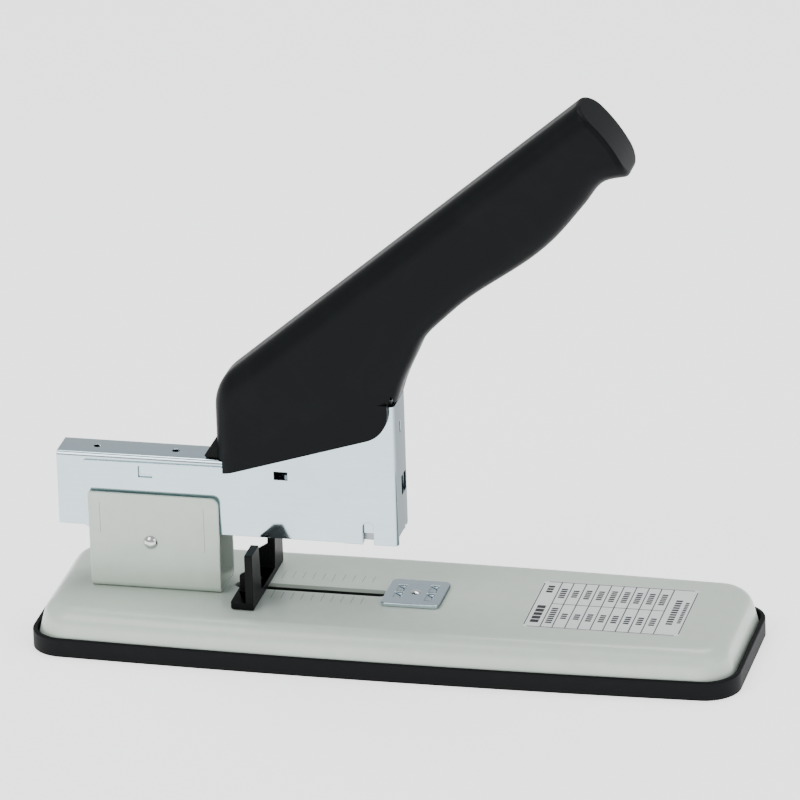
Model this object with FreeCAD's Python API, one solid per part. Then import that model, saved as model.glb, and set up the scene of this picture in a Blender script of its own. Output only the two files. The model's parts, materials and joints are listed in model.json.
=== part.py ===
"""Long-arm heavy-duty desk stapler, as an assembly of separate pieces.

Own frame, millimetres: +X to the front (the anvil end), +Y to the stapler's left side,
+Z up.  The origin is the centre of the base's footprint, on the table.
The head swings about a pin in the stand, the handle swings on the head and drives the
blade down, the staple rail pulls out to the rear, the paper guide slides in the base
and the anvil plate turns about its rivet.
"""
import FreeCAD, Part
import math
import os

V = FreeCAD.Vector

# ---------------------------------------------------------------- driving dimensions
# base
BASE_L = 285.0                 # length of the tray
BASE_W = 83.0                  # width of the tray at mid length
BOW = 3.1                      # how much narrower each long side is at its ends
CORNER_R = 14.0                # plan radius of the tray's corners
TRAY_H = 7.7                   # height of the tray's rim
TRAY_FLOOR = 2.4
RIM_T = 1.0                    # the shell stands this far inside the tray's edge
SHELL_T = 1.6                  # sheet thickness of the painted shell
SHELL_DRAFT = 1.1              # how far the shell's side leans in
TOP_Z = 18.9                   # top face of the shell
TOP_R = 7.4                    # round of the shell's top edge
END_GAP = 0.8                  # the shell is this much shorter than the tray, each end
END_DRAFT = 3.5                # the same at the shell's top
TOP_CORNER = 3.5               # the shell's top corners are rounder by this
STIFF_T = 2.0                  # steel plate under the shell's top
POST_X = 121.0                 # screw posts, from the centre
POST_Y = 26.0
# stand
STAND_X0, STAND_X1 = -122.0, -69.0
STAND_HALF = 11.1              # outer half width
STAND_T = 1.2
STAND_TOP = 59.7
STAND_BEND = 3.0               # outer bend radius at the stand's foot
PIVOT_X, PIVOT_Z = -97.0, 39.4  # axis of the head pivot
PIVOT_R = 2.5
# head frame
FRAME_X0 = -124.0
FRAME_FRONT = 3.2              # outer face of the front wall
FRAME_IN = 7.8                 # inner half width behind the step
FRAME_STEP = 0.6               # the front part stands this much further out
STEP_X = -19.0
FRAME_T = 1.0
FRAME_Z0 = 43.7
FRAME_REAR_TOP = 72.2
FRAME_FRONT_TOP = 103.0
# magazine
MAG_X0, MAG_X1 = -135.0, -2.4
MAG_TOP = 74.9
MAG_T = 1.0
MAG_CUT_X = -50.0              # in front of this the channel's top is cut away
RAIL_HALF = 5.6
RAIL_TOP = 66.2
RAIL_T = 1.0
ROD_Z, ROD_R = 55.0, 1.5      # pusher rod inside the rail
# lever
AXLE_X, AXLE_Z = -58.0, 86.0   # axis of the handle on the head frame
AXLE_R = 3.0
AXLE_LUG_R = 6.0               # round lug of the frame about the handle axis
NOSE_REACH = 55.0              # from the handle axis to the link pin
SWING = 29.0                   # handle travel, degrees
LINK_R = 1.9
# handle cover
COVER_HALF = 12.0
COVER_WALL = 2.0
ARM_OUT = 7.5                  # outer half width of the lever's cheeks
ARM_T = 1.1
GRIP_DEG = 40.0                # slope of the handle's top line
GRIP_A = V(-56.3, 0, 118.6)    # where the straight top line starts
GRIP_END = 175.4               # length of the top line from there
HEEL_X = -69.9                 # rear face of the handle
HEEL_R = 20.0                  # round between the rear face and the top line
HEEL_TOP = 97.0                # the rear face is flat up to here
GRIP_ROUND = 8.5               # rounding of the grip's back
UNDER_ROUND = 7.8              # rounding of the grip's underside
SKIRT_FRONT = 0.9              # front edge of the cheeks
LIP_Z = 104.3                  # underside of the cover's front lip
# paper guide
GUIDE_X = -57.2                # middle of the guide's cross bar
GUIDE_BAR_HALF = 4.8           # half of the bar's width along X
FENCE_T = 3.2
GUIDE_SLOT_W = 6.2
SLOT_X0, SLOT_X1 = -66.0, -4.0
# anvil
ANVIL_X = 7.35                 # axis of the anvil's rivet
ANVIL_LEN, ANVIL_W, ANVIL_T = 23.7, 24.0, 1.4
ANVIL_PIN_R = 1.8
FIT = 0.06                     # radial play of a turning fit
GAP = 0.3                      # play between sliding pieces

NOSE_DEG = SWING / 2
NOSE_X = AXLE_X + NOSE_REACH * math.cos(math.radians(NOSE_DEG))
NOSE_Z = AXLE_Z + NOSE_REACH * math.sin(math.radians(NOSE_DEG))
STROKE = 2 * NOSE_REACH * math.sin(math.radians(NOSE_DEG))


# ---------------------------------------------------------------- small helpers
def box(x0, x1, y0, y1, z0, z1):
    return Part.makeBox(x1 - x0, y1 - y0, z1 - z0, V(x0, y0, z0))


def rod_x(x0, x1, y, z, r):
    return Part.makeCylinder(r, x1 - x0, V(x0, y, z), V(1, 0, 0))


def rod_y(x, z, r, y0, y1):
    return Part.makeCylinder(r, y1 - y0, V(x, y0, z), V(0, 1, 0))


def rod_z(x, y, r, z0, z1):
    return Part.makeCylinder(r, z1 - z0, V(x, y, z0), V(0, 0, 1))


def join(pieces):
    whole = pieces[0]
    if len(pieces) > 1:
        whole = whole.multiFuse(pieces[1:])
    return whole.removeSplitter()


def group(pieces):
    """Separate solids kept in one node."""
    return Part.makeCompound(pieces)


def rounded_wire(points):
    """Closed wire through corner points (Vector, radius), each corner a tangent arc."""
    starts, ends, mids = [], [], []
    count = len(points)
    for i in range(count):
        corner, radius = points[i]
        to_last = (points[i - 1][0] - corner).normalize()
        to_next = (points[(i + 1) % count][0] - corner).normalize()
        half = to_last.getAngle(to_next) / 2
        reach = radius / math.tan(half)
        bisector = (to_last + to_next).normalize()
        starts.append(corner + to_last * reach)
        ends.append(corner + to_next * reach)
        mids.append(corner + bisector * (radius / math.sin(half) - radius))
    edges = []
    for i in range(count):
        if points[i][1] > 0:
            edges.append(Part.Arc(starts[i], mids[i], ends[i]).toShape())
        after = starts[(i + 1) % count]
        if (after - ends[i]).Length > 1e-4:
            edges.append(Part.LineSegment(ends[i], after).toShape())
    return Part.Wire(edges)


def side_plate(points, y0, y1):
    """Plate in the X-Z plane between y0 and y1, from corners (x, z, radius)."""
    wire = rounded_wire([(V(x, y0, z), r) for x, z, r in points])
    return Part.Face(wire).extrude(V(0, y1 - y0, 0))


def flat_plate(points, z0, z1):
    """Plate in the X-Y plane between z0 and z1, from corners (x, y, radius)."""
    wire = rounded_wire([(V(x, y, z0), r) for x, y, r in points])
    return Part.Face(wire).extrude(V(0, 0, z1 - z0))


def rectangle(x0, x1, y0, y1, r):
    return [(x0, y0, r), (x1, y0, r), (x1, y1, r), (x0, y1, r)]


def slot_z(x0, x1, width, z0, z1):
    """Round-ended slot along X, centred on Y = 0."""
    half = width / 2
    body = box(x0 + half, x1 - half, -half, half, z0, z1)
    return join([body, rod_z(x0 + half, 0, half, z0, z1), rod_z(x1 - half, 0, half, z0, z1)])


def edges_at(shape, test):
    """Edges whose middle point passes the test."""
    chosen = []
    for edge in shape.Edges:
        middle = edge.valueAt((edge.FirstParameter + edge.LastParameter) / 2)
        if test(middle, edge):
            chosen.append(edge)
    return chosen


def fillet_where(shape, radius, test):
    """Round the chosen edges, at most a little less where the shape has no room."""
    for share in (1.0, 0.9, 0.75, 0.5):
        try:
            rounded = shape.makeFillet(radius * share, edges_at(shape, test))
        except (ValueError, Part.OCCError):
            continue
        if rounded.isValid() and rounded.Solids:
            print("rounded", len(edges_at(shape, test)), "edges at", radius * share)
            return rounded
    print("not rounded:", test.__name__)
    return shape


def screw_z(x, y, shank_r, head_r, head_z0, head_z1, tip_z):
    """Screw on a vertical axis: a flat round head and a plain shank down or up to tip_z."""
    head = rod_z(x, y, head_r, head_z0, head_z1)
    if tip_z < head_z0:
        return join([head, rod_z(x, y, shank_r, tip_z, head_z0)])
    return join([head, rod_z(x, y, shank_r, head_z1, tip_z)])


def spring_x(x0, x1, z, coil_r, wire_r, turns):
    """Round-wire coil spring along X."""
    length = x1 - x0
    helix = Part.makeHelix(length / turns, length, coil_r)
    start = helix.Edges[0].valueAt(helix.Edges[0].FirstParameter)
    ring = Part.Wire([Part.makeCircle(wire_r, start, V(0, 1, 0))])
    coil = Part.Wire(helix).makePipeShell([ring], True, True)
    coil.rotate(V(0, 0, 0), V(0, 1, 0), 90)
    coil.translate(V(x0, 0, z))
    return coil


def save(name, shape):
    shape.exportStep(os.path.join("parts", name + ".step"))
    room = shape.BoundBox
    print(f"{name:18s} solids {len(shape.Solids)} valid {shape.isValid()} volume {shape.Volume:9.1f}"
          f"  x {room.XMin:7.1f} {room.XMax:7.1f}  y {room.YMin:6.1f} {room.YMax:6.1f}"
          f"  z {room.ZMin:6.1f} {room.ZMax:6.1f}")


# ---------------------------------------------------------------- base
def base_outline(inset, z, shorter, corner):
    """Plan outline of the base: bowed long sides, straight ends and round corners."""
    half_l = BASE_L / 2 - inset - shorter
    mid = BASE_W / 2 - inset
    end = mid - BOW
    near = Part.Arc(V(-half_l, -end, z), V(0, -mid, z), V(half_l, -end, z)).toShape()
    front = Part.LineSegment(V(half_l, -end, z), V(half_l, end, z)).toShape()
    far = Part.Arc(V(half_l, end, z), V(0, mid, z), V(-half_l, end, z)).toShape()
    rear = Part.LineSegment(V(-half_l, end, z), V(-half_l, -end, z)).toShape()
    slab = Part.Face(Part.Wire([near, front, far, rear])).extrude(V(0, 0, 1))
    corners = edges_at(slab, lambda p, e: abs(abs(p.x) - half_l) < 0.01 and abs(abs(p.y) - end) < 0.01)
    slab = slab.makeFillet(corner - inset, corners)
    lowest = min(slab.Faces, key=lambda face: face.CenterOfMass.z)
    return lowest.OuterWire


def base_blank(inset_low, inset_high, z0, z1, edge_r):
    """Solid between two base outlines, with its top edge rounded."""
    low = base_outline(inset_low, z0, END_GAP, CORNER_R)
    high = base_outline(inset_high, z1, END_DRAFT, CORNER_R + TOP_CORNER)
    blank = Part.makeLoft([low, high], True, True)
    top = edges_at(blank, lambda p, e: abs(p.z - z1) < 0.01)
    return blank.makeFillet(edge_r, top)


def guide_slot(z0, z1):
    return slot_z(SLOT_X0, SLOT_X1, GUIDE_SLOT_W, z0, z1)


def stand_rivet_places():
    return [(-112.0, 0.0), (-80.0, 0.0)]


def post_places():
    return [(sx * POST_X, sy * POST_Y) for sx in (-1, 1) for sy in (-1, 1)]


def base_shell():
    outer = base_blank(RIM_T, RIM_T + SHELL_DRAFT, TRAY_FLOOR, TOP_Z, TOP_R)
    inner = base_blank(RIM_T + SHELL_T, RIM_T + SHELL_T + SHELL_DRAFT, TRAY_FLOOR - 1,
                       TOP_Z - SHELL_T, TOP_R - SHELL_T)
    shell = outer.cut(inner)
    posts = [rod_z(x, y, 4.0, TRAY_FLOOR, TOP_Z - SHELL_T / 2) for x, y in post_places()]
    shell = shell.multiFuse(posts)
    cuts = [rod_z(x, y, 1.5, 0, 12) for x, y in post_places()]
    cuts += [rod_z(x, y, 2.5, 10, 25) for x, y in stand_rivet_places()]
    cuts += [guide_slot(10, 25), rod_z(ANVIL_X, 0, ANVIL_PIN_R, 10, 25)]
    return shell.cut(Part.makeCompound(cuts))


def base_tray():
    """Floor and rim of the plastic tray that the shell drops into."""
    outer = Part.Face(base_outline(0, 0, 0, CORNER_R)).extrude(V(0, 0, TRAY_H))
    outer = outer.makeFillet(0.8, edges_at(outer, lambda p, e: abs(p.z - TRAY_H) < 0.01))
    inner = Part.Face(base_outline(RIM_T, TRAY_FLOOR, END_GAP, CORNER_R)).extrude(V(0, 0, TRAY_H))
    tray = outer.cut(inner)
    cuts = []
    for x, y in post_places():
        cuts.append(rod_z(x, y, 3.2, -1, 1.5))
        cuts.append(rod_z(x, y, 1.5, 0, 5))
    return tray.cut(Part.makeCompound(cuts))


def tray_screws():
    return group([screw_z(x, y, 1.5, 3.0, 0.3, 1.5, 11.0) for x, y in post_places()])


def base_stiffener():
    """Steel channel under the shell's top that carries the stand and the anvil."""
    top = TOP_Z - SHELL_T
    half = 22.0
    plate = flat_plate(rectangle(-127, 24, -half, half, 3), top - STIFF_T, top)
    flanges = [box(-124, 21, sy * half - (STIFF_T if sy > 0 else 0),
                   sy * half + (STIFF_T if sy < 0 else 0), 8, top - STIFF_T / 2) for sy in (-1, 1)]
    channel = join([plate] + flanges)
    cuts = [rod_z(x, y, 2.5, 10, 25) for x, y in stand_rivet_places()]
    cuts += [guide_slot(10, 25), rod_z(ANVIL_X, 0, ANVIL_PIN_R, 10, 25)]
    return channel.cut(Part.makeCompound(cuts))


def label_plate():
    """Printed sticker with the staple size chart."""
    return flat_plate(rectangle(54.7, 117.3, -22, 22, 1.5), TOP_Z, TOP_Z + 0.15)


# ---------------------------------------------------------------- stand
def stand_bracket():
    floor = box(STAND_X0, STAND_X1, -STAND_HALF, STAND_HALF, TOP_Z, TOP_Z + STAND_T)
    cheek = [(STAND_X0, TOP_Z, 0), (STAND_X1, TOP_Z, 0), (STAND_X1, STAND_TOP, 3.0),
             (STAND_X0, STAND_TOP, 1.0)]
    cheeks = [side_plate(cheek, -STAND_HALF, -STAND_HALF + STAND_T),
              side_plate(cheek, STAND_HALF - STAND_T, STAND_HALF)]
    bracket = join([floor] + cheeks)
    foot = edges_at(bracket, lambda p, e: abs(p.z - TOP_Z) < 0.01 and abs(abs(p.y) - STAND_HALF) < 0.01)
    bracket = bracket.makeFillet(STAND_BEND, foot)
    inner_half = STAND_HALF - STAND_T
    bend = edges_at(bracket, lambda p, e: abs(p.z - TOP_Z - STAND_T) < 0.01
                    and abs(abs(p.y) - inner_half) < 0.01)
    bracket = bracket.makeFillet(STAND_BEND - STAND_T, bend)
    cuts = [rod_z(x, y, 2.5, 10, 25) for x, y in stand_rivet_places()]
    cuts.append(rod_y(PIVOT_X, PIVOT_Z, PIVOT_R, -20, 20))
    return bracket.cut(Part.makeCompound(cuts))


def stand_rivets():
    low = TOP_Z - SHELL_T - STIFF_T
    rivets = []
    for x, y in stand_rivet_places():
        head = Part.makeSphere(5.0, V(x, y, TOP_Z + STAND_T - 3.4))
        head = head.common(rod_z(x, y, 5, TOP_Z + STAND_T, 30))
        rivets.append(join([rod_z(x, y, 2.5, low, TOP_Z + STAND_T + 0.5), head,
                            rod_z(x, y, 4, low - 1, low)]))
    return group(rivets)


def pivot_pin():
    """Head pivot: a shank with a domed head outside each stand cheek."""
    shank = rod_y(PIVOT_X, PIVOT_Z, PIVOT_R, -STAND_HALF - 0.5, STAND_HALF + 0.5)
    heads = []
    for side in (-1, 1):
        ball = Part.makeSphere(3.4, V(PIVOT_X, side * (STAND_HALF - 1.75), PIVOT_Z))
        outside = box(PIVOT_X - 5, PIVOT_X + 5, STAND_HALF, STAND_HALF + 5, PIVOT_Z - 5, PIVOT_Z + 5)
        if side < 0:
            outside = outside.mirror(V(0, 0, 0), V(0, 1, 0))
        heads.append(ball.common(outside))
    return join([shank] + heads)


def pivot_bush():
    """Tube between the head frame's lugs, turning on the pivot pin."""
    tube = rod_y(PIVOT_X, PIVOT_Z, 4.2, -FRAME_IN, FRAME_IN)
    return tube.cut(rod_y(PIVOT_X, PIVOT_Z, PIVOT_R + FIT, -20, 20))


def lift_spring():
    """Bent leaf spring in the stand that lifts the head: foot, bend and raised tongue."""
    half = 4.0
    return side_plate([(-92, 21.7, 0), (-110, 21.7, 2.5), (-116, 27, 2.5), (-116, 32, 2.5),
                       (-112, 36, 1.5), (-103.6, 38.6, 0), (-103.3, 37.8, 0), (-111.6, 35.2, 0.7),
                       (-115.2, 31.6, 1.7), (-115.2, 27.4, 1.7), (-109.7, 22.5, 1.7), (-92, 22.5, 0)],
                      -half, half)


# ---------------------------------------------------------------- head
def frame_sheet():
    """The head frame's sheet in plan: two walls, a step in each, and the front wall."""
    front_in = FRAME_IN + FRAME_STEP
    outer = []
    inner = []
    for side in (1, -1):
        walls = [(FRAME_X0, FRAME_IN), (STEP_X - 0.9, FRAME_IN), (STEP_X, front_in)]
        if side < 0:
            walls.reverse()
        front = (FRAME_FRONT, front_in + FRAME_T)
        if side < 0:
            outer.append((front[0], -front[1], 1.8))
            inner.append((front[0] - FRAME_T, -front_in, 0.8))
        outer += [(x, side * (y + FRAME_T), 0) for x, y in walls]
        inner += [(x, side * y, 0) for x, y in walls]
        if side > 0:
            outer.append((front[0], front[1], 1.8))
            inner.append((front[0] - FRAME_T, front_in, 0.8))
    inner = [(x - 1 if x == FRAME_X0 else x, y, r) for x, y, r in inner]
    return flat_plate(outer, 30, 115).cut(flat_plate(inner, 29, 116))


def head_frame():
    """Zinc-plated frame: one sheet bent round the magazine's front end."""
    profile = [(FRAME_X0, FRAME_Z0, 1.0), (FRAME_X0, FRAME_REAR_TOP, 1.0), (-66, 72.6, 0),
               (-62.4, 80, 0), (-55, 92.0, 4), (-40, 92.0, 4), (-22, FRAME_FRONT_TOP, 6),
               (FRAME_FRONT + 1, FRAME_FRONT_TOP, 0), (FRAME_FRONT + 1, FRAME_Z0, 0),
               (-84, FRAME_Z0, 0), (-91.5, 33.5, 4), (-102.5, 33.5, 4), (-110, FRAME_Z0, 0)]
    frame = frame_sheet().common(join([side_plate(profile, -12, 12),
                                       rod_y(AXLE_X, AXLE_Z, AXLE_LUG_R, -12, 12)]))
    wall = FRAME_FRONT - FRAME_T - 0.4
    cuts = [box(wall, 6, -7.2, 12, 30, 46.8), rod_x(wall, 6, 3.6, 47.0, 1.6),
            box(wall, 6, -1.0, 1.0, 88.9, 93.4), box(wall, 6, -0.6, 8.2, 62.0, 70.0)]
    cuts += [box(-11, -6.7, -12, 12, 40, 51.1), rod_y(-8.85, 51.1, 2.15, -12, 12)]
    cuts += [box(-46.4, -40.9, -12, 12, 68.8, 72.2)]
    cuts += [box(-101.5, -100.7, -12, 12, 66.2, 70.9), box(-101.5, -95.9, -12, 12, 66.2, 67.7)]
    cuts += [rod_y(PIVOT_X, PIVOT_Z, PIVOT_R + FIT, -20, 20), rod_y(AXLE_X, AXLE_Z, AXLE_R, -20, 20)]
    return frame.cut(Part.makeCompound(cuts))


def magazine_channel():
    """Upside-down U that covers the staples; cut low in front to let the lever down."""
    half = FRAME_IN
    outer = box(MAG_X0, MAG_X1, -half, half, FRAME_Z0 + 0.3, MAG_TOP)
    top = edges_at(outer, lambda p, e: abs(p.z - MAG_TOP) < 0.01 and abs(abs(p.y) - half) < 0.01)
    outer = outer.makeFillet(1.9, top)
    inner = box(MAG_X0 - 1, MAG_X1 + 1, -half + MAG_T, half - MAG_T, 30, MAG_TOP - MAG_T)
    low_front = side_plate([(MAG_CUT_X, 90, 0), (MAG_CUT_X, 70.5, 3), (MAG_CUT_X + 8, 66.2, 0),
                            (10, 66.2, 0), (10, 90, 0)], -12, 12)
    holes = [rod_z(x, 0, 1.5, 70, 80) for x in (-120, -88)]
    slots = [box(-11, -6.7, -12, 12, 40, 48)]
    return outer.cut(Part.makeCompound([inner, low_front] + holes + slots))


def rail_stop():
    """Bent tongue riveted in the channel's roof that ends the rail's travel."""
    return join([box(-72, -58, -4, 4, MAG_TOP - MAG_T - 1.2, MAG_TOP - MAG_T),
                 box(-59.2, -58, -4, 4, RAIL_TOP + 4.2, MAG_TOP - MAG_T - 0.6)])


def handle_axle():
    shank = rod_y(AXLE_X, AXLE_Z, AXLE_R, -FRAME_IN - FRAME_T, FRAME_IN + FRAME_T)
    heads = [rod_y(AXLE_X, AXLE_Z, AXLE_R + 1.0, FRAME_IN + FRAME_T, FRAME_IN + FRAME_T + 0.5),
             rod_y(AXLE_X, AXLE_Z, AXLE_R + 1.0, -FRAME_IN - FRAME_T - 0.5, -FRAME_IN - FRAME_T)]
    return join([shank] + heads)


def return_spring():
    """Torsion spring round a sleeve on the handle axle: coil and two legs."""
    ring = rod_y(AXLE_X, AXLE_Z, 5.4, -4.5, 4.5).cut(rod_y(AXLE_X, AXLE_Z, 4.4, -10, 10))
    rear_leg = box(AXLE_X - 6.0, AXLE_X, 3.4, 4.4, AXLE_Z - 5.3, AXLE_Z - 4.4)
    front_leg = side_plate([(AXLE_X, AXLE_Z + 4.4, 0), (AXLE_X + 20, AXLE_Z + 16.4, 0),
                            (AXLE_X + 20, AXLE_Z + 17.4, 0), (AXLE_X, AXLE_Z + 5.4, 0)], -4.4, -3.4)
    return join([ring, rear_leg, front_leg])


# ---------------------------------------------------------------- driver
def driver_blade():
    """Flat steel blade in front of the rail, hung on its carrier."""
    return box(0.6, 1.7, -6.3, 6.3, 71.3, NOSE_Z + 5)


def driver_carrier():
    """Block behind the blade with a level slot for the lever's link pin."""
    block = side_plate([(NOSE_X - 4.2, NOSE_Z - 3.5, 1), (0.6, NOSE_Z - 3.5, 0),
                        (0.6, NOSE_Z + 5, 0), (NOSE_X - 4.2, NOSE_Z + 5, 1)], -6, 6)
    half = LINK_R + 0.1
    slot = join([box(NOSE_X, NOSE_X + 2.1, -7, 7, NOSE_Z - half, NOSE_Z + half),
                 rod_y(NOSE_X, NOSE_Z, half, -7, 7), rod_y(NOSE_X + 2.1, NOSE_Z, half, -7, 7)])
    return block.cut(slot)


# ---------------------------------------------------------------- staple rail and pusher
def staple_rail():
    """Core that the staples straddle: an upside-down U that slides in the channel."""
    outer = box(-133.4, -0.9, -RAIL_HALF, RAIL_HALF, 46.4, RAIL_TOP)
    inner = box(-140, 5, -RAIL_HALF + RAIL_T, RAIL_HALF - RAIL_T, 30, RAIL_TOP - RAIL_T)
    nose = box(-3, 0, -RAIL_HALF, RAIL_HALF, 46.4, 50)
    return outer.cut(inner).cut(nose)


def rail_cap():
    """Plate that closes the rear end of the magazine, with a finger hole to pull it by."""
    plate = box(-134.9, -133.4, -6.5, 6.5, 44.8, 73.6)
    lug = rod_x(-133.4, -131.0, 0, ROD_Z, 3.0)
    return join([plate, lug]).cut(rod_x(-133.0, -120, 0, ROD_Z, ROD_R)).cut(rod_x(-136, -130, 0, 66.5, 4.5))


def pusher_rod():
    return rod_x(-133.0, -3.4, 0, ROD_Z, ROD_R)


def pusher():
    """Saddle over the rail with a core inside it that runs on the rod."""
    x0, x1 = -19.0, -1.6
    half = FRAME_IN - MAG_T - 0.25
    inside = RAIL_HALF + 0.3
    saddle = box(x0, x1, -half, half, 44.8, RAIL_TOP + 1.4)
    saddle = saddle.cut(box(x0 - 1, x1 + 1, -inside, inside, 46.1, RAIL_TOP + 0.3))
    core_half = RAIL_HALF - RAIL_T - 0.4
    core = box(x0, x1 - 2.4, -core_half, core_half, 45.5, 61)
    return join([saddle, core]).cut(rod_x(x0 - 1, x1 + 1, 0, ROD_Z, ROD_R + FIT))


def pusher_spring():
    return spring_x(-130.6, -19.6, ROD_Z, 2.6, 0.4, 28)


# ---------------------------------------------------------------- handle
def along(s, depth):
    """Point at distance s along the handle's top line and depth below it."""
    slope = math.radians(GRIP_DEG)
    x = GRIP_A.x + s * math.cos(slope) + depth * math.sin(slope)
    z = GRIP_A.z + s * math.sin(slope) - depth * math.cos(slope)
    return x, z


def prism(edges, half):
    """Solid between y = -half and y = half with the given edges as its side view."""
    return Part.Face(Part.Wire(edges)).extrude(V(0, 2 * half, 0))


def handle_skirt(half):
    """Lower part of the cover: two cheeks over the head, cut off level under the front lip."""
    def at(x, z):
        return V(x, -half, z)

    rear_step, rear_low = at(HEEL_X, 74.0), at(-67.4, 70.4)
    front_low, front_step = at(-8.0, 88.8), at(SKIRT_FRONT, 101.5)
    front_high, rear_high = at(SKIRT_FRONT, LIP_Z), at(HEEL_X, HEEL_TOP)
    skirt = prism([
        Part.LineSegment(rear_step, rear_low).toShape(),
        Part.LineSegment(rear_low, front_low).toShape(),
        Part.Arc(front_low, at(-1.5, 93.3), front_step).toShape(),
        Part.LineSegment(front_step, front_high).toShape(),
        Part.LineSegment(front_high, at(-50, LIP_Z)).toShape(),
        Part.LineSegment(at(-50, LIP_Z), at(-57, HEEL_TOP)).toShape(),
        Part.LineSegment(at(-57, HEEL_TOP), rear_high).toShape(),
        Part.LineSegment(rear_high, rear_step).toShape()], half)

    def at_rear(p, e):
        return abs(p.x - HEEL_X) < 0.01 and abs(abs(p.y) - half) < 0.01

    return fillet_where(skirt, GRIP_ROUND, at_rear)


def grip_edge(y):
    """Underside of the grip as one smooth curve: front lip, finger hollow, then the flare."""
    nose = [(0.2, 93.5), (3.8, 104.3), (6.7, 113.0), (11.2, 122.8), (15.2, 131.0)]
    depths = [(74, 34.9), (85, 34.3), (104, 35.4), (119, 36.5), (134, 35.7), (147, 33.2),
              (154, 31.6), (159.5, 30.1), (164, 30.0), (168.5, 31.8), (GRIP_END - 1.6, 34.4)]
    points = [V(x, y, z) for x, z in nose + [along(s, depth) for s, depth in depths]]
    curve = Part.BSplineCurve()
    curve.interpolate(points)
    return curve.toShape(), points[0], points[-1]


def handle_grip(half):
    """Upper part of the cover: round-backed bar with a rounded underside and a flared end."""
    under, nose, lip = grip_edge(-half)

    def at(x, z):
        return V(x, -half, z)

    slope = math.radians(GRIP_DEG)
    roof_way = V(math.cos(slope), 0, math.sin(slope))
    heel = at(*along((HEEL_X - GRIP_A.x) / math.cos(slope), 0))
    half_turn = (math.pi / 2 + slope) / 2
    reach = HEEL_R / math.tan(half_turn)
    bisector = (roof_way - V(0, 0, 1)).normalize()
    heel_mid = heel + bisector * (HEEL_R / math.sin(half_turn) - HEEL_R)
    heel_low = heel - V(0, 0, reach)
    heel_high = heel + roof_way * reach
    tip = at(*along(GRIP_END, 0))
    rear_low = at(HEEL_X, nose.z)
    grip = prism([
        under,
        Part.Arc(lip, at(*along(GRIP_END + 1.7, 16.0)), tip).toShape(),
        Part.LineSegment(tip, heel_high).toShape(),
        Part.Arc(heel_high, heel_mid, heel_low).toShape(),
        Part.LineSegment(heel_low, rear_low).toShape(),
        Part.LineSegment(rear_low, nose).toShape()], half)

    def on_back(p, e):
        below = (p - GRIP_A).dot(V(roof_way.z, 0, -roof_way.x))
        return abs(abs(p.y) - half) < 0.01 and abs(below) < 0.05 and e.Length > 20

    def under_grip(p, e):
        return abs(abs(p.y) - half) < 0.01 and e.Length > 100 and p.x > 20 and p.z < 165

    def at_end(p, e):
        return p.x > 70 and (p - GRIP_A).dot(roof_way) > GRIP_END - 4

    for radius, place in ((GRIP_ROUND, on_back), (UNDER_ROUND, under_grip), (2.0, at_end)):
        grip = fillet_where(grip, radius, place)
    return grip.cut(box(SKIRT_FRONT, 40, -20, 20, 60, LIP_Z))


def handle_cover():
    """Moulded cover: cheeks, roof and grip, open below over the head."""
    blank = join([handle_skirt(COVER_HALF), handle_grip(COVER_HALF)])
    wall = COVER_WALL
    inside = COVER_HALF - wall
    roof = [(*along(140, wall + 3), 4), (*along(140, 24), 6)]
    heel = [(-65.4, 50, 0), (-65.4, 99.5, 8), (*along(2, wall + 0.6), 6)]
    wide = side_plate(heel + roof + [(*along(118, 28), 10), (*along(60, 28.5), 20),
                                     (3.6, 121.0, 8), (2.2, 108.0, 0), (3.0, 104.6, 0), (3.0, 50, 0)],
                      -inside, inside)
    ridge = edges_at(wide, lambda p, e: abs(abs(p.y) - inside) < 0.01 and e.Length > 20
                     and abs((p - GRIP_A).dot(V(math.sin(math.radians(GRIP_DEG)), 0,
                                                -math.cos(math.radians(GRIP_DEG)))) - wall - 0.6) < 1.5)
    wide = wide.makeFillet(3.0, ridge)
    narrow = side_plate([(-40, 50, 0), (-40, 110, 0), (*along(60, 20), 0), (*along(125, 20), 0),
                         (*along(118, 33.4), 6), (*along(66, 33.0), 20), (9.2, 123.4, 8),
                         (3.0, 108.6, 6), (3.0, 50, 0)], -6.4, 6.4)
    rear_gap = box(-80, -60, -inside, inside, 50, 76.2)
    return blank.cut(Part.makeCompound([wide, narrow, rear_gap]))


def arm_profile():
    """Side view of the lever's cheek: axle boss, nose to the link pin, and long arm."""
    return [(AXLE_X - 1, AXLE_Z - 5.8, 3), (NOSE_X + 3.6, NOSE_Z - 3.4, 3), (NOSE_X + 1.6, NOSE_Z + 8, 4),
            (-18.5, 131.8, 4), (*along(58, 14.2), 8), (*along(118, 14), 3), (*along(118, 4.6), 3),
            (*along(6, 4.6), 6), (AXLE_X - 5.4, AXLE_Z + 6, 5), (AXLE_X - 5.4, AXLE_Z - 1, 3)]


def handle_arm():
    """Steel lever inside the cover: two cheeks joined by a web along the top."""
    points = arm_profile()
    inner = ARM_OUT - ARM_T
    whole = side_plate(points, -ARM_OUT, ARM_OUT)
    hollow = box(-90, 120, -inner, inner, 60, 260)
    web = side_plate([(*along(30, 6.0), 0), (*along(119, 6.0), 0), (*along(119, 3), 0), (*along(30, 3), 0)],
                     -ARM_OUT, ARM_OUT)
    cheeks = whole.cut(hollow)
    arm = join([cheeks, whole.common(web)])
    cuts = [rod_y(AXLE_X, AXLE_Z, AXLE_R + FIT, -20, 20), rod_y(NOSE_X, NOSE_Z, LINK_R, -20, 20)]
    return arm.cut(Part.makeCompound(cuts))


def link_pin():
    return rod_y(NOSE_X, NOSE_Z, LINK_R, -ARM_OUT, ARM_OUT)


def axle_sleeve():
    """Spacer tube between the lever's cheeks, on the axle."""
    half = ARM_OUT - ARM_T
    tube = rod_y(AXLE_X, AXLE_Z, 4.1, -half, half)
    return tube.cut(rod_y(AXLE_X, AXLE_Z, AXLE_R + FIT, -20, 20))


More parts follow.
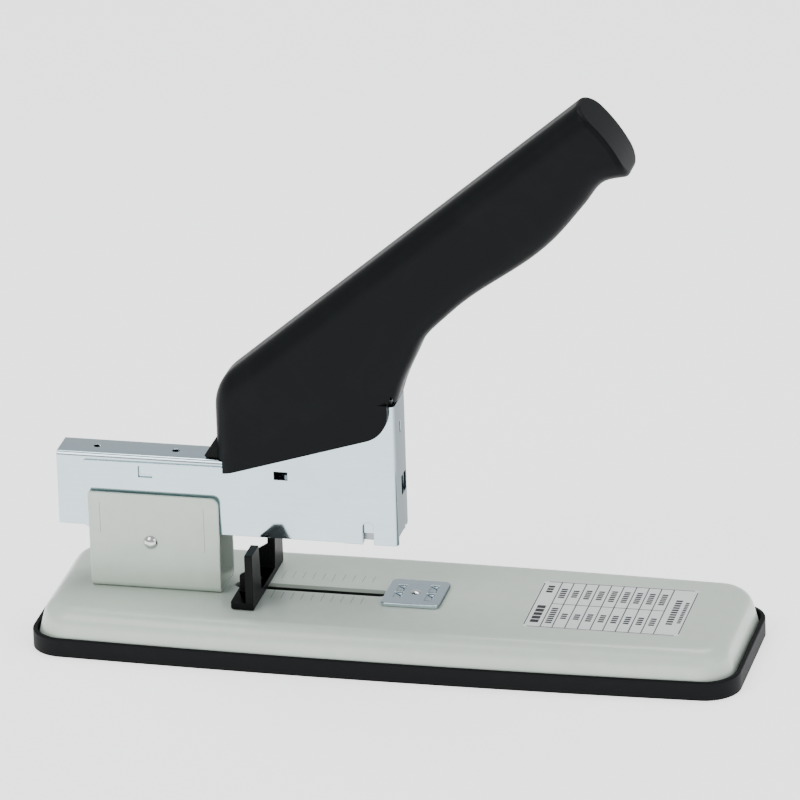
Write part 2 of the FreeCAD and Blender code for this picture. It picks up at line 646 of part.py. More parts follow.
def handle_stop():
    """Wedge at the handle's heel that rests on the magazine and stops the upswing."""
    return side_plate([(-75.2, MAG_TOP + 0.9, 0.6), (-68.6, 86.0, 0), (-65.5, 88.0, 0),
                       (-65.5, MAG_TOP + GAP, 0),
                       (-74.4, MAG_TOP + GAP, 0)], -5.5, 5.5)


def arm_rivets():
    """Two pins that hold the cover on the lever."""
    pins = []
    for s in (70, 110):
        x, z = along(s, 10)
        pins.append(rod_y(x, z, 1.8, -COVER_HALF + COVER_WALL, COVER_HALF - COVER_WALL))
    return group(pins)


# ---------------------------------------------------------------- paper guide
def paper_guide():
    """Cross bar on the base with an upright fence and a small gusset at each side."""
    z0 = TOP_Z + GAP
    front = GUIDE_X + GUIDE_BAR_HALF
    rear = GUIDE_X - GUIDE_BAR_HALF
    bar = flat_plate([(rear, -25, 2.0), (front, -25, 0), (front, 25, 0), (rear, 25, 2.0)], z0, 22)
    pieces = [bar]
    for side in (-1, 1):
        corners = [(10.8, 21, 0), (25.0, 21, 0), (24.6, 42.4, 0.8), (13.2, 42.4, 0.8)]
        wire = rounded_wire([(V(front - FENCE_T, side * y, z), r) for y, z, r in corners])
        pieces.append(Part.Face(wire).extrude(V(FENCE_T, 0, 0)))
        y0, y1 = sorted((side * 11.2, side * 13.2))
        gusset = [(rear + 1.2, 21, 0), (front - 2, 21, 0), (front - 2, 32.6, 0), (rear + 1.2, 28.6, 0.6)]
        pieces.append(side_plate(gusset, y0, y1))
    holes = [rod_z(GUIDE_X, 0, 1.5, 10, 30), rod_z(GUIDE_X, 0, 2.5, 20.8, 30)]
    return join(pieces).cut(Part.makeCompound(holes))


def guide_screw():
    """Small cross-head screw through the guide's bar into the clamp plate."""
    head = rod_z(GUIDE_X, 0, 2.4, 20.8, 22.2)
    cross = [box(GUIDE_X - 1.5, GUIDE_X + 1.5, -0.3, 0.3, 21.6, 23),
             box(GUIDE_X - 0.3, GUIDE_X + 0.3, -1.5, 1.5, 21.6, 23)]
    return join([head, rod_z(GUIDE_X, 0, 1.5, 12.2, 20.8)]).cut(Part.makeCompound(cross))


def guide_clamp():
    """Steel plate under the base's channel that the guide screw pulls up against."""
    top = TOP_Z - SHELL_T - STIFF_T - GAP
    outline = rectangle(GUIDE_X - GUIDE_BAR_HALF, GUIDE_X + GUIDE_BAR_HALF, -8, 8, 1.5)
    return flat_plate(outline, top - 2.2, top).cut(rod_z(GUIDE_X, 0, 1.5, 5, 25))


# ---------------------------------------------------------------- anvil
def anvil_plate():
    """Turning clinch plate with a groove at each end for the two ways to bend a staple."""
    z0 = TOP_Z + 0.2
    x0 = ANVIL_X - ANVIL_LEN / 2
    plate = flat_plate(rectangle(x0, x0 + ANVIL_LEN, -ANVIL_W / 2, ANVIL_W / 2, 2.5), z0, z0 + ANVIL_T)
    top = z0 + ANVIL_T
    plate = plate.makeFillet(0.4, edges_at(plate, lambda p, e: abs(p.z - top) < 0.01))
    cuts = [rod_z(ANVIL_X, 0, ANVIL_PIN_R + FIT, 10, 30)]
    for centre, half in ((0.9, 6.3), (2 * ANVIL_X - 0.9, 7.4)):
        for side in (-1, 1):
            pocket = rod_y(centre, top + 1.6, 2.4, 0.6, half)
            if side < 0:
                pocket = pocket.mirror(V(0, 0, 0), V(0, 1, 0))
            cuts.append(pocket)
    return plate.cut(Part.makeCompound(cuts))


def anvil_rivet():
    top = TOP_Z + 0.2 + ANVIL_T
    head = Part.makeSphere(3.4, V(ANVIL_X, 0, top - 2.6)).common(rod_z(ANVIL_X, 0, 5, top + 0.08, 30))
    low = TOP_Z - SHELL_T - STIFF_T
    return join([rod_z(ANVIL_X, 0, ANVIL_PIN_R, low - 1.0, top + 0.3), head,
                 rod_z(ANVIL_X, 0, 3.4, low - 1.2, low)])


def main():
    os.makedirs("parts", exist_ok=True)
    makers = [base_shell, base_tray, tray_screws, base_stiffener, label_plate, stand_bracket,
              stand_rivets, pivot_pin, pivot_bush, lift_spring, head_frame, magazine_channel, rail_stop,
              handle_axle, return_spring, driver_blade, driver_carrier, staple_rail, rail_cap,
              pusher_rod, pusher, pusher_spring, handle_cover, handle_arm, link_pin, axle_sleeve,
              handle_stop, arm_rivets, paper_guide, guide_screw, guide_clamp, anvil_plate, anvil_rivet]
    for maker in makers:
        save(maker.__name__, maker())


main()
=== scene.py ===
# %% [markdown]
# # A long-arm desk stapler
#
# The design is already fixed: every steel and plastic part comes from the imported model as a
# node that stays where it is.  This lesson adds what a design model lacks: finishes, softened
# sheet edges, a spring made again as a helix, the printed chart and scale, and a small studio.

# %% Load the frame
import json
import math

import bmesh
import bpy
import numpy as np
from mathutils import Matrix, Vector


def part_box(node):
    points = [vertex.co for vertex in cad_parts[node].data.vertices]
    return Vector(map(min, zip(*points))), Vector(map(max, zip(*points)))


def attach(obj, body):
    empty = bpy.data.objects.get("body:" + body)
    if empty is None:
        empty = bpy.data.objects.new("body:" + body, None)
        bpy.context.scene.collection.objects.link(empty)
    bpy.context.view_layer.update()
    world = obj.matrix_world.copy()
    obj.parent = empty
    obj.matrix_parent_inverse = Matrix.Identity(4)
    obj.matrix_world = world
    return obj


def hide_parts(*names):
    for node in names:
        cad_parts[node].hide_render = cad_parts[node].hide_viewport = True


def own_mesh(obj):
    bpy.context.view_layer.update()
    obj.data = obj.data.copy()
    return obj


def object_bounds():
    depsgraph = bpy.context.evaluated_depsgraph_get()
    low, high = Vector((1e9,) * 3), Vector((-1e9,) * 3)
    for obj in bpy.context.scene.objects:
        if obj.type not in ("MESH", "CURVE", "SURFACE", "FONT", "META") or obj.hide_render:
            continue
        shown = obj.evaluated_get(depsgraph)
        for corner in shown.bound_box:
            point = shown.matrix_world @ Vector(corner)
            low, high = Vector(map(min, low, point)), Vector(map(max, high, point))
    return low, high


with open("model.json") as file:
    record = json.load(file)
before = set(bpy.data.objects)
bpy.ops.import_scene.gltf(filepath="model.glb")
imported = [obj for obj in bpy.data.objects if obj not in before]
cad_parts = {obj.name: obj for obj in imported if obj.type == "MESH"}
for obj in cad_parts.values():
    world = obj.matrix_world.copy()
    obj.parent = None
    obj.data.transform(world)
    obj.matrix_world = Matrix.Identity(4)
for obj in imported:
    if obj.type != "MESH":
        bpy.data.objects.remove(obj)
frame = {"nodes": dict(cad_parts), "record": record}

cad_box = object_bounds()
nodes = frame["nodes"]
body_of_node = {node: body for body, parts in frame["record"]["behaviour"]["bodies"].items()
                for node in parts}
MM = 0.001


# %% [markdown]
# ## Helpers for shader nodes
#
# A finish is a Principled BSDF whose colour, roughness and normal change a little over the
# surface.  The small class below only saves typing: it adds a node, sets its values and links
# its inputs by name.

# %% Shader helpers
class Sheet:
    """A node tree with short calls to add and link nodes."""

    def __init__(self, tree):
        self.tree = tree

    def add(self, kind, values=None, **settings):
        node = self.tree.nodes.new(kind)
        for name, value in settings.items():
            setattr(node, name, value)
        for name, value in (values or {}).items():
            if isinstance(value, bpy.types.NodeSocket):
                self.tree.links.new(value, node.inputs[name])
            else:
                node.inputs[name].default_value = value
        return node

    def math(self, operation, a, b=0.5, c=None):
        values = {0: a, 1: b}
        if c is not None:
            values[2] = c
        return self.add("ShaderNodeMath", values, operation=operation).outputs[0]

    def blend(self, factor, a, b):
        node = self.add("ShaderNodeMix", data_type="RGBA")
        for socket, value in ((node.inputs[0], factor), (node.inputs[6], a), (node.inputs[7], b)):
            if isinstance(value, bpy.types.NodeSocket):
                self.tree.links.new(value, socket)
            else:
                socket.default_value = value
        return node.outputs[2]

    def spread(self, value, low, high):
        """Map 0..1 to low..high."""
        return self.add("ShaderNodeMapRange", {"Value": value, "To Min": low, "To Max": high}).outputs[0]


def new_group(name, inputs, outputs):
    """Shader node group with named float, vector or colour sockets."""
    kinds = {"f": "NodeSocketFloat", "v": "NodeSocketVector", "c": "NodeSocketColor"}
    tree = bpy.data.node_groups.new(name, "ShaderNodeTree")
    for label, kind in inputs:
        tree.interface.new_socket(label, in_out="INPUT", socket_type=kinds[kind])
    for label, kind in outputs:
        tree.interface.new_socket(label, in_out="OUTPUT", socket_type=kinds[kind])
    sheet = Sheet(tree)
    return tree, sheet, sheet.add("NodeGroupInput"), sheet.add("NodeGroupOutput")


def rgba(r, g, b):
    """Linear colour from a screen colour of 0..255 per channel."""
    screen = np.array([r, g, b]) / 255
    linear = np.where(screen <= 0.04045, screen / 12.92, ((screen + 0.055) / 1.055) ** 2.4)
    return (*linear.tolist(), 1.0)


# %% [markdown]
# ## Effects that several finishes share
#
# Three groups are built once.  `skin` is the fine unevenness of paint or moulded plastic.
# `rolled` is the faint one-way streaking and clouding of plated sheet steel.  `handled` is a
# mask of dust and finger smears in large soft patches.

# %% Shared effect groups
def skin_group():
    """Height and tone of a fine grain: two sizes of noise added together."""
    tree, sheet, given, out = new_group(
        "skin", [("Vector", "v"), ("Scale", "f"), ("Coarse", "f")], [("Height", "f"), ("Tone", "f")])
    fine = sheet.add("ShaderNodeTexNoise", {"Vector": given.outputs["Vector"],
                                            "Scale": given.outputs["Scale"], "Detail": 2.0})
    wide = sheet.add("ShaderNodeTexNoise", {"Vector": given.outputs["Vector"],
                                            "Scale": given.outputs["Coarse"], "Detail": 3.0})
    height = sheet.math("MULTIPLY_ADD", fine.outputs[0], 0.6, wide.outputs[0])
    tree.links.new(height, out.inputs["Height"])
    tree.links.new(wide.outputs[0], out.inputs["Tone"])
    return tree


def rolled_group():
    """Streaks along one axis (noise on squeezed coordinates) and clouds of plating."""
    tree, sheet, given, out = new_group(
        "rolled", [("Vector", "v"), ("Squeeze", "v"), ("Cloud", "f")],
        [("Height", "f"), ("Streak", "f"), ("Cloudy", "f")])
    squeezed = sheet.add("ShaderNodeVectorMath", {0: given.outputs["Vector"], 1: given.outputs["Squeeze"]},
                         operation="MULTIPLY")
    streak = sheet.add("ShaderNodeTexNoise", {"Vector": squeezed.outputs[0], "Scale": 1.0, "Detail": 4.0,
                                              "Roughness": 0.6})
    cloud = sheet.add("ShaderNodeTexNoise", {"Vector": given.outputs["Vector"],
                                             "Scale": given.outputs["Cloud"], "Detail": 5.0,
                                             "Roughness": 0.55, "Distortion": 0.4})
    tree.links.new(streak.outputs[0], out.inputs["Streak"])
    tree.links.new(streak.outputs[0], out.inputs["Height"])
    tree.links.new(cloud.outputs[0], out.inputs["Cloudy"])
    return tree


def handled_group():
    """Mask of smears: large noise pushed towards black and white by a smooth step."""
    tree, sheet, given, out = new_group(
        "handled", [("Vector", "v"), ("Size", "f"), ("Amount", "f")], [("Mask", "f")])
    noise = sheet.add("ShaderNodeTexNoise", {"Vector": given.outputs["Vector"],
                                             "Scale": given.outputs["Size"], "Detail": 6.0,
                                             "Roughness": 0.62, "Distortion": 0.8})
    step = sheet.add("ShaderNodeMapRange", {"Value": noise.outputs[0], "From Min": 0.48, "From Max": 0.72},
                     interpolation_type="SMOOTHSTEP")
    tree.links.new(sheet.math("MULTIPLY", step.outputs[0], given.outputs["Amount"]), out.inputs["Mask"])
    return tree


SKIN = skin_group()
ROLLED = rolled_group()
HANDLED = handled_group()


def start_finish(name):
    """Material with its output, Principled BSDF and object coordinates ready."""
    material = bpy.data.materials.new(name)
    material.use_nodes = True
    material.node_tree.nodes.clear()
    sheet = Sheet(material.node_tree)
    surface = sheet.add("ShaderNodeBsdfPrincipled")
    output = sheet.add("ShaderNodeOutputMaterial")
    material.node_tree.links.new(surface.outputs[0], output.inputs["Surface"])
    place = sheet.add("ShaderNodeTexCoord").outputs["Object"]
    return material, sheet, surface, place


def group_node(sheet, tree, values):
    return sheet.add("ShaderNodeGroup", values, node_tree=tree)


# %% [markdown]
# ## The finishes
#
# A coat of stoved enamel is smooth but never flat: it has a slight orange peel and its
# colour drifts a little.  Moulded black plastic shows a fine spark texture.  Zinc plate is a
# bright metal with a blue cast, streaks from the rolling mill and cloudy patches.

# %% Paint, plastic and steel
def painted(name, light, dark, rough, peel):
    """Enamel: two close colours blended by slow noise, orange peel in the normal."""
    material, sheet, surface, place = start_finish(name)
    grain = group_node(sheet, SKIN, {"Vector": place, "Scale": 1100.0, "Coarse": 160.0})
    smear = group_node(sheet, HANDLED, {"Vector": place, "Size": 38.0, "Amount": 0.5})
    tone = sheet.blend(grain.outputs["Tone"], dark, light)
    colour = sheet.blend(sheet.math("MULTIPLY", smear.outputs["Mask"], 0.22), tone, dark)
    gloss = sheet.spread(smear.outputs["Mask"], rough, rough + 0.14)
    bump = sheet.add("ShaderNodeBump", {"Height": grain.outputs["Height"], "Strength": peel,
                                        "Distance": 0.00006})
    for socket, source in (("Base Color", colour), ("Roughness", gloss), ("Normal", bump.outputs[0])):
        sheet.tree.links.new(source, surface.inputs[socket])
    surface.inputs["Coat Weight"].default_value = 0.25
    surface.inputs["Coat Roughness"].default_value = 0.12
    return material


def moulded(name, colour, rough, grain_size, depth, wear_and_painted_shade=0.35, shine=0.25):
    """Moulded plastic: fine spark texture, slightly greyer and duller where it is handled."""
    material, sheet, surface, place = start_finish(name)
    grain = group_node(sheet, SKIN, {"Vector": place, "Scale": grain_size, "Coarse": grain_size / 9})
    smear = group_node(sheet, HANDLED, {"Vector": place, "Size": 30.0, "Amount": wear_and_painted_shade})
    paler = tuple(min(1.0, c * 1.7 + 0.004) for c in colour[:3]) + (1.0,)
    tint = sheet.blend(sheet.math("MULTIPLY", smear.outputs["Mask"], 0.5), colour, paler)
    gloss = sheet.spread(smear.outputs["Mask"], rough, rough + 0.12)
    bump = sheet.add("ShaderNodeBump", {"Height": grain.outputs["Height"], "Strength": depth,
                                        "Distance": 0.00005})
    for socket, source in (("Base Color", tint), ("Roughness", gloss), ("Normal", bump.outputs[0])):
        sheet.tree.links.new(source, surface.inputs[socket])
    surface.inputs["Specular IOR Level"].default_value = shine
    return material


def plated(name, bright, dull, rough, squeeze=(6.0, 900.0, 900.0), streaks=0.12, cloud=45.0,
           front_shade_share=1.0):
    """Metal: streaked and cloudy between two colours, with the same streaks in the normal.

    Faces that look forward (+X) get a painted shade: their colour and reflection tint are darkened to the
    given share of their brightness.
    """
    material, sheet, surface, place = start_finish(name)
    metal = group_node(sheet, ROLLED, {"Vector": place, "Squeeze": squeeze, "Cloud": cloud})
    mixed = sheet.math("MULTIPLY_ADD", metal.outputs["Streak"], 0.35,
                       sheet.math("MULTIPLY", metal.outputs["Cloudy"], 0.65))
    plain = sheet.blend(mixed, bright, dull)
    # painted shade: a mask of faces whose normal points along +X, darkened in colour and in reflection
    # tint
    forward = sheet.add("ShaderNodeSeparateXYZ", {0: sheet.add("ShaderNodeNewGeometry").outputs["Normal"]})
    wear_and_painted_shade = sheet.add("ShaderNodeMapRange", {"Value": forward.outputs["X"], "From Min": 0.35,
                                            "From Max": 0.95}, interpolation_type="SMOOTHSTEP")
    shade = tuple(c * front_shade_share for c in dull[:3]) + (1.0,)
    tint = sheet.blend(wear_and_painted_shade.outputs[0], plain, shade)
    # painted shade in the reflection: the specular tint of forward faces drops to the same share
    front_reflection_shade = sheet.blend(wear_and_painted_shade.outputs[0], (1.0, 1.0, 1.0, 1.0), (front_shade_share, front_shade_share, front_shade_share, 1.0))
    sheet.tree.links.new(front_reflection_shade, surface.inputs["Specular Tint"])
    gloss = sheet.spread(metal.outputs["Cloudy"], rough * 0.75, rough * 1.35)
    bump = sheet.add("ShaderNodeBump", {"Height": metal.outputs["Height"], "Strength": streaks,
                                        "Distance": 0.00003})
    for socket, source in (("Base Color", tint), ("Roughness", gloss), ("Normal", bump.outputs[0])):
        sheet.tree.links.new(source, surface.inputs[socket])
    surface.inputs["Metallic"].default_value = 1.0
    return material


enamel = painted("enamel_grey_green", rgba(199, 209, 198), rgba(188, 199, 187), 0.30, 0.30)
tray_black = moulded("tray_black", rgba(18, 19, 20), 0.55, 1500.0, 0.5, shine=0.08)
handle_black = moulded("handle_black", rgba(17, 19, 20), 0.40, 1900.0, 0.14, shine=0.06)
guide_black = moulded("guide_black", rgba(14, 15, 15), 0.42, 1700.0, 0.3, shine=0.08)
# zinc: forward faces carry a painted shade at half brightness
zinc = plated("zinc_plate", rgba(208, 224, 229), rgba(184, 202, 209), 0.08, front_shade_share=0.5)
nickel = plated("nickel", rgba(225, 225, 222), rgba(200, 201, 200), 0.12, cloud=90.0)
steel = plated("bare_steel", rgba(170, 172, 174), rgba(135, 138, 141), 0.30)
blued = plated("blued_spring", rgba(70, 72, 78), rgba(48, 50, 54), 0.34)
film = painted("label_film", rgba(224, 226, 224), rgba(214, 217, 215), 0.38, 0.1)
ink = moulded("printing_ink", rgba(44, 46, 48), 0.5, 2500.0, 0.1)
# faint grey: printed ticks of the scale, and painted shade for the stand's pressed seams
faint_ink_and_seam_shade = moulded("scale_ink_and_seam_shade", rgba(142, 149, 146), 0.45, 2500.0, 0.1)
print("finishes:", len(bpy.data.materials))

# %% [markdown]
# ## Which part has which finish
#
# Carried-over parts keep their own mesh.  Only their material slots are filled.

# %% Put the finishes on the parts
FINISH_OF = {
    "base_shell": enamel, "stand_bracket": enamel, "base_tray": tray_black, "label_plate": film,
    "head_frame": zinc, "magazine_channel": zinc, "staple_rail": zinc, "rail_cap": zinc,
    "anvil_plate": zinc, "handle_arm": zinc, "pivot_pin": nickel, "anvil_rivet": nickel,
    "guide_screw": nickel, "lift_spring": blued, "return_spring": blued, "pusher_spring": blued,
    "handle_cover": handle_black, "handle_stop": guide_black, "paper_guide": guide_black,
}


def dress(piece, material):
    piece.data.materials.clear()
    piece.data.materials.append(material)


for node, part in nodes.items():
    dress(part, FINISH_OF.get(node, steel))


# %% [markdown]
# ## Softer edges
#
# A CAD edge is perfectly sharp and catches no light.  Real sheet and mouldings have a tiny
# round there.  Each part below gets a stand-in: its mesh is copied, the doubled vertices are
# merged so that the surface is closed, flat triangles are joined into whole faces, and a
# bevel rounds every edge sharper than the limit angle.

# %% Stand-ins with rounded edges
def softened(node, width_mm, limit_deg=34.0, steps=2):
    """Copy of a part with its sharp edges rounded over width_mm."""
    part = nodes[node]
    mesh = part.data.copy()
    mesh.transform(part.matrix_world)
    shape = bmesh.new()
    shape.from_mesh(mesh)
    bmesh.ops.remove_doubles(shape, verts=shape.verts[:], dist=0.002 * MM)
    bmesh.ops.dissolve_limit(shape, angle_limit=math.radians(0.5), verts=shape.verts[:],
                             edges=shape.edges[:])
    shape.to_mesh(mesh)
    shape.free()
    for name in ("custom_normal", "sharp_face"):
        if name in mesh.attributes:
            mesh.attributes.remove(mesh.attributes[name])
    mesh.set_sharp_from_angle(angle=math.radians(limit_deg))
    piece = bpy.data.objects.new(node + "_soft", mesh)
    bpy.context.collection.objects.link(piece)
    bevel = piece.modifiers.new("soft edge", "BEVEL")
    bevel.width = width_mm * MM
    bevel.segments = steps
    bevel.limit_method = "ANGLE"
    bevel.angle_limit = math.radians(limit_deg)
    bevel.harden_normals = True
    bevel.use_clamp_overlap = False
    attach(piece, body_of_node[node])
    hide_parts(node)
    return piece


SOFT = {"paper_guide": 0.3, "stand_bracket": 0.3, "head_frame": 0.22,
        "magazine_channel": 0.2, "anvil_plate": 0.25, "rail_cap": 0.2}
for node, width in SOFT.items():
    piece = softened(node, width)
    print(piece.name, "faces:", len(piece.data.polygons))


# %% [markdown]
# ## The pusher spring made again
#
# The pusher runs back along its rod and presses its coil spring against the rail's cap.  A
# rigid coil would poke out through the cap.  The spring is made again as a tube round a
# helix.  It stays with the rail.

# %% Pusher spring
def coil(name, start, end, coil_r, wire_r, turns, steps=22, sides=8):
    """Coil spring along X from start to end = (x, z), in millimetres.

    Helix: c(t) = (x(t), R sin a, z + R cos a), with a = 2 pi turns t and t from 0 to 1.
    Tube: p(t, b) = c + r (n cos b + q sin b), with n = (0, sin a, cos a), q = T x n and T the
    unit tangent of the helix.
    """
    t = np.linspace(0, 1, steps * turns + 1)
    a = 2 * np.pi * turns * t
    length = end[0] - start[0]
    zero = np.zeros_like(t)
    centre = np.stack([start[0] + length * t, coil_r * np.sin(a), start[1] + coil_r * np.cos(a)], -1)
    tangent = np.stack([zero + length / (2 * np.pi * turns), coil_r * np.cos(a), -coil_r * np.sin(a)], -1)
    tangent /= np.linalg.norm(tangent, axis=1, keepdims=True)
    normal = np.stack([zero, np.sin(a), np.cos(a)], -1)
    across = np.cross(tangent, normal)
    b = 2 * np.pi * np.arange(sides) / sides
    ring = normal[:, None] * np.cos(b)[None, :, None] + across[:, None] * np.sin(b)[None, :, None]
    points = (centre[:, None] + wire_r * ring).reshape(-1, 3) * MM
    i, j = np.meshgrid(np.arange(len(t) - 1), np.arange(sides), indexing="ij")
    k = (j + 1) % sides
    faces = np.stack([i * sides + j, i * sides + k, (i + 1) * sides + k, (i + 1) * sides + j], -1)
    caps = [np.arange(sides)[::-1].tolist(), (np.arange(sides) + (len(t) - 1) * sides).tolist()]
    mesh = bpy.data.meshes.new(name)
    mesh.from_pydata(points.tolist(), [], faces.reshape(-1, 4).tolist() + caps)
    mesh.polygons.foreach_set("use_smooth", np.ones(len(mesh.polygons), bool))
    piece = bpy.data.objects.new(name, mesh)
    bpy.context.collection.objects.link(piece)
    return piece


low, high = (np.array(corner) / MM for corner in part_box("pusher_spring"))
wire = 0.4
spring_z = (low[2] + high[2]) / 2
spring_r = (high[1] - low[1]) / 2 - wire
spring = coil("pusher_spring_live", (low[0] + wire, spring_z), (high[0] - wire, spring_z),
              spring_r, wire, 28)
dress(spring, blued)
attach(spring, "rail")
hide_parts("pusher_spring")
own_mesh(spring)


# %% [markdown]
# ## Printing on the base
#
# The label is a chart: a title column, a column of headings, eight pairs of cells and a wide
# note column.  Its words are only suggested by rows of small blocks.  All of it is thin flat
# slabs, computed together as one mesh.

# %% Thin slabs from a table of numbers
def slabs(name, table, low, high, upright=False):
    """Many thin slabs as one mesh, in millimetres.

    Row k of the table is (a0, a1, b0, b1).  Corner i has bits p, q, r of i and lies at
    a = a0 + p (a1 - a0), b = b0 + q (b1 - b0), h = low + r (high - low).
    Flat slabs use (x, y, z) = (a, b, h); upright ones use (x, y, z) = (a, h, b).
    """
    table = np.asarray(table, float)
    bits = (np.arange(8)[:, None] >> np.arange(3)) & 1
    a = table[:, 0:1] + (table[:, 1:2] - table[:, 0:1]) * bits[:, 0]
    b = table[:, 2:3] + (table[:, 3:4] - table[:, 2:3]) * bits[:, 1]
    h = np.broadcast_to(low + (high - low) * bits[:, 2], a.shape)
    corners = np.stack([a, h, b] if upright else [a, b, h], axis=-1).reshape(-1, 3) * MM
    sides = np.array([[0, 2, 3, 1], [4, 5, 7, 6], [0, 1, 5, 4], [2, 6, 7, 3], [0, 4, 6, 2],
                      [1, 3, 7, 5]])
    if upright:
        sides = sides[:, ::-1]
    faces = (sides[None] + 8 * np.arange(len(table))[:, None, None]).reshape(-1, 4)
    mesh = bpy.data.meshes.new(name)
    mesh.from_pydata(corners.tolist(), [], faces.tolist())
    piece = bpy.data.objects.new(name, mesh)
    bpy.context.collection.objects.link(piece)
    return piece


def blocks(x, y_mid, count, height, pitch, share=0.66):
    """Row of count small blocks along Y, centred on (x, y_mid), as rows for slabs()."""
    y = y_mid + (np.arange(count) - (count - 1) / 2) * pitch
    half = pitch * share / 2
    return np.stack([np.full(count, x - height / 2), np.full(count, x + height / 2),
                     y - half, y + half], axis=-1)


# %% [markdown]
# ## The chart on the label
#
# All positions follow from the label's own box.  Columns are shares of its length, so the
# chart keeps its layout if the label changes size.

# %% Rules and blocks
label_low, label_high = (np.array(corner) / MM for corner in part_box("label_plate"))
left, right = label_low[0] + 0.5, label_high[0] - 0.5
near, far = label_low[1] + 0.5, label_high[1] - 0.5
line = 0.42
span = right - left
columns = left + span * np.concatenate([[0.11, 0.187], 0.187 + 0.082 * np.arange(1, 9)])
middle = near + (far - near) * 0.52
rules = [np.stack([columns - line / 2, columns + line / 2, np.full(10, near), np.full(10, far)], -1),
         [[columns[0], columns[-1], middle - line / 2, middle + line / 2],
          [left + 1.5, right - 1.5, near - line / 2, near + line / 2],
          [left + 1.5, right - 1.5, far - line / 2, far + line / 2],
          [left - line / 2, left + line / 2, near + 1.5, far - 1.5],
          [right - line / 2, right + line / 2, near + 1.5, far - 1.5]]]
cells = (columns[1:-1] + columns[2:]) / 2
counts_near = [3, 3, 4, 4, 4, 4, 4, 4]
counts_far = [4, 5, 5, 6, 6, 6, 6, 6]
words = [blocks(x, (near + middle) / 2, count, 2.3, 1.9) for x, count in zip(cells, counts_near)]
words += [blocks(x, (middle + far) / 2, count, 2.3, 1.8) for x, count in zip(cells, counts_far)]
head = (columns[0] + columns[1]) / 2
words += [blocks(head, (near + middle) / 2, 8, 2.5, 1.9), blocks(head, (middle + far) / 2, 5, 2.5, 1.9)]
title = (left + columns[0]) / 2
words += [blocks(title, near + 12.0, 5, 3.4, 3.4, 0.8), blocks(title, far - 7.0, 3, 2.6, 2.4, 0.75)]
note = columns[-1] + (right - columns[-1]) * 0.42
words += [blocks(note, (near + far) / 2, 11, 2.6, 2.2), blocks(note + 3.6, (near + far) / 2, 12, 1.5, 1.7)]
top = label_high[2]
chart = slabs("label_chart", np.concatenate([*map(np.asarray, rules), *words]), top - 0.02, top + 0.03)
dress(chart, ink)
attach(chart, "base")
print("chart slabs:", len(chart.data.polygons) // 6)

# %% [markdown]
# ## The scale beside the guide
#
# Two rows of ten ticks stand on both sides of the slot, and each cheek of the stand carries
# two faint upright lines, a painted shade for its pressed seams.  They are the same kind of slab, only
# thinner and paler.

# %% Ticks and stand lines
ticks = -49.0 + 4.05 * np.arange(10)
shell_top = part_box("base_shell")[1][2] / MM
longer = np.where(np.arange(10) % 5 == 0, 1.4, 0.0)
scale = np.concatenate([
    np.stack([ticks - 0.14, ticks + 0.14, np.full(10, 9.7) - longer, np.full(10, 15.9)], -1),
    np.stack([ticks - 0.14, ticks + 0.14, np.full(10, -11.0), np.full(10, -4.6) + longer], -1)])
scale = slabs("paper_scale", scale, shell_top - 0.02, shell_top + 0.02)
dress(scale, faint_ink_and_seam_shade)
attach(scale, "base")
stand_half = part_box("stand_bracket")[1][1] / MM
# painted shade: two thin grey strips on each cheek stand for the shade of pressed seams
lines = [[-117.4, -117.2, 42.5, 55.5], [-75.1, -74.9, 36.4, 55.3]]
for side, (low, high) in {"near": (-stand_half - 0.02, -stand_half + 0.02),
                          "far": (stand_half - 0.02, stand_half + 0.02)}.items():
    seam_shade_strips = slabs("stand_lines_" + side, lines, low, high, upright=True)
    dress(seam_shade_strips, faint_ink_and_seam_shade)
    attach(seam_shade_strips, "base")
print("scale and stand lines done")


# %% [markdown]
# ## Floor and light
#
# A white table that glows a little, one large soft light over the left shoulder, a weaker one
# from the right and a bright room.  Bright metal shows its surroundings, so the room itself is
# a gradient: pale round the horizon and greyer above.

# %% Studio
def floor_piece():
    half = 3.0
    mesh = bpy.data.meshes.new("studio_floor")
    mesh.from_pydata([(-half, -half, 0), (half, -half, 0), (half, half, 0), (-half, half, 0)], [],
                     [(0, 1, 2, 3)])
    floor = bpy.data.objects.new("studio_floor", mesh)
    bpy.context.collection.objects.link(floor)
    floor.location.z = cad_box[0][2] - 0.02 * MM
    paper = moulded("studio_paper", rgba(240, 240, 240), 0.8, 900.0, 0.05, wear_and_painted_shade=0.0)
    glow = next(node for node in paper.node_tree.nodes if node.type == "BSDF_PRINCIPLED")
    glow.inputs["Emission Color"].default_value = (1.0, 1.0, 1.0, 1.0)
    glow.inputs["Emission Strength"].default_value = 1.3
    dress(floor, paper)


def soft_light(name, place, aim, size, power, colour=(1, 1, 1)):
    lamp = bpy.data.lights.new(name, "AREA")
    lamp.shape = "RECTANGLE"
    lamp.size, lamp.size_y = size
    lamp.energy = power
    lamp.color = colour
    item = bpy.data.objects.new(name, lamp)
    item.location = place
    item.rotation_euler = (Vector(aim) - Vector(place)).to_track_quat("-Z", "Y").to_euler()
    bpy.context.collection.objects.link(item)


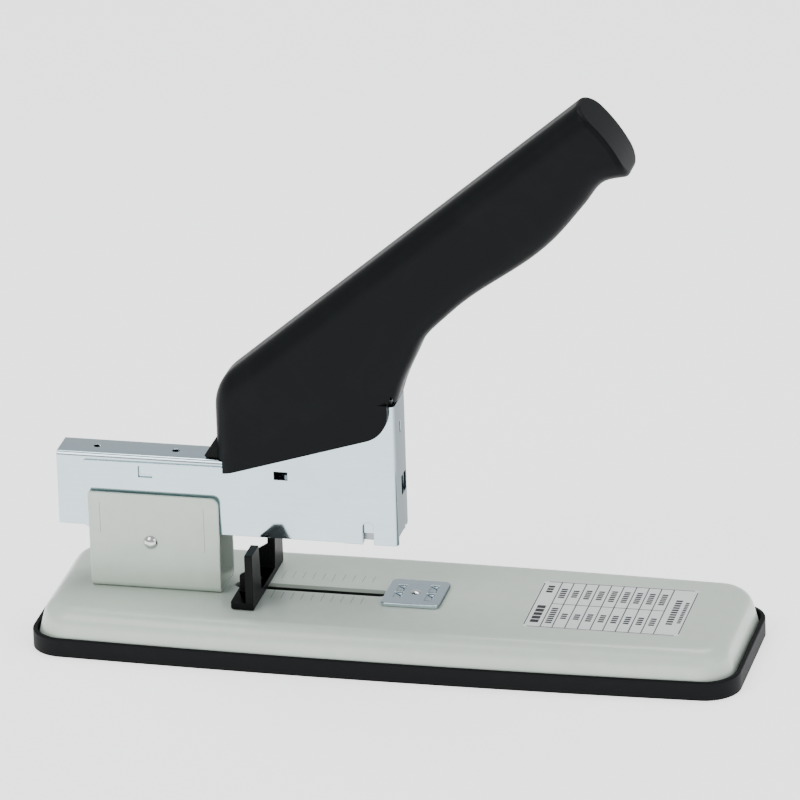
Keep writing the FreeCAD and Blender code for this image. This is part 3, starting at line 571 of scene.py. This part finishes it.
def room():
    world = bpy.data.worlds.new("room")
    world.use_nodes = True
    sheet = Sheet(world.node_tree)
    back = world.node_tree.nodes["Background"]
    direction = sheet.add("ShaderNodeTexCoord").outputs["Generated"]
    height = sheet.add("ShaderNodeSeparateXYZ", {0: direction}).outputs["Z"]
    ramp = sheet.add("ShaderNodeMapRange", {"Value": height, "From Min": 0.0, "From Max": 0.45},
                     interpolation_type="SMOOTHSTEP")
    tone = sheet.blend(ramp.outputs[0], (1.0, 1.0, 1.0, 1), (0.78, 0.81, 0.85, 1))
    world.node_tree.links.new(tone, back.inputs["Color"])
    back.inputs["Strength"].default_value = 0.8
    bpy.context.scene.world = world


floor_piece()
room()
soft_light("key", (-0.9, -1.1, 1.5), (0, 0, 0.1), (1.2, 1.2), 17)
soft_light("fill", (1.4, -0.9, 0.9), (0, 0, 0.1), (1.0, 1.0), 6)
soft_light("top", (0.1, 0.5, 1.7), (0, 0, 0.1), (1.4, 0.8), 18)


# %% [markdown]
# ## Camera
#
# A long lens a few metres away keeps the base's edges almost parallel.  The camera sits on a
# line given by its azimuth and elevation, looks at a point on the object and is rolled a
# little about that line.

# %% Place the camera
def studio_camera(azimuth, elevation, roll, lens, distance, aim):
    """Long lens on a line at azimuth and elevation from aim; azimuth 0 looks along +Y."""
    az, el, ro = (math.radians(angle) for angle in (azimuth, elevation, roll))
    back = Vector((math.sin(az) * math.cos(el), -math.cos(az) * math.cos(el), math.sin(el)))
    right = Vector((math.cos(az), math.sin(az), 0))
    up = back.cross(right)
    right, up = right * math.cos(ro) + up * math.sin(ro), up * math.cos(ro) - right * math.sin(ro)
    camera = bpy.data.objects.new("camera", bpy.data.cameras.new("camera"))
    camera.matrix_world = Matrix.Translation(Vector(aim) + back * distance) @ Matrix(
        (right, up, back)).transposed().to_4x4()
    camera.data.sensor_width = 36.0
    camera.data.lens = lens
    camera.data.clip_end = 20.0
    bpy.context.collection.objects.link(camera)
    bpy.context.scene.camera = camera


studio_camera(13.67, 22.63, -1.84, 379.5, 3.2945, (0.00347, 0, 0.10235))
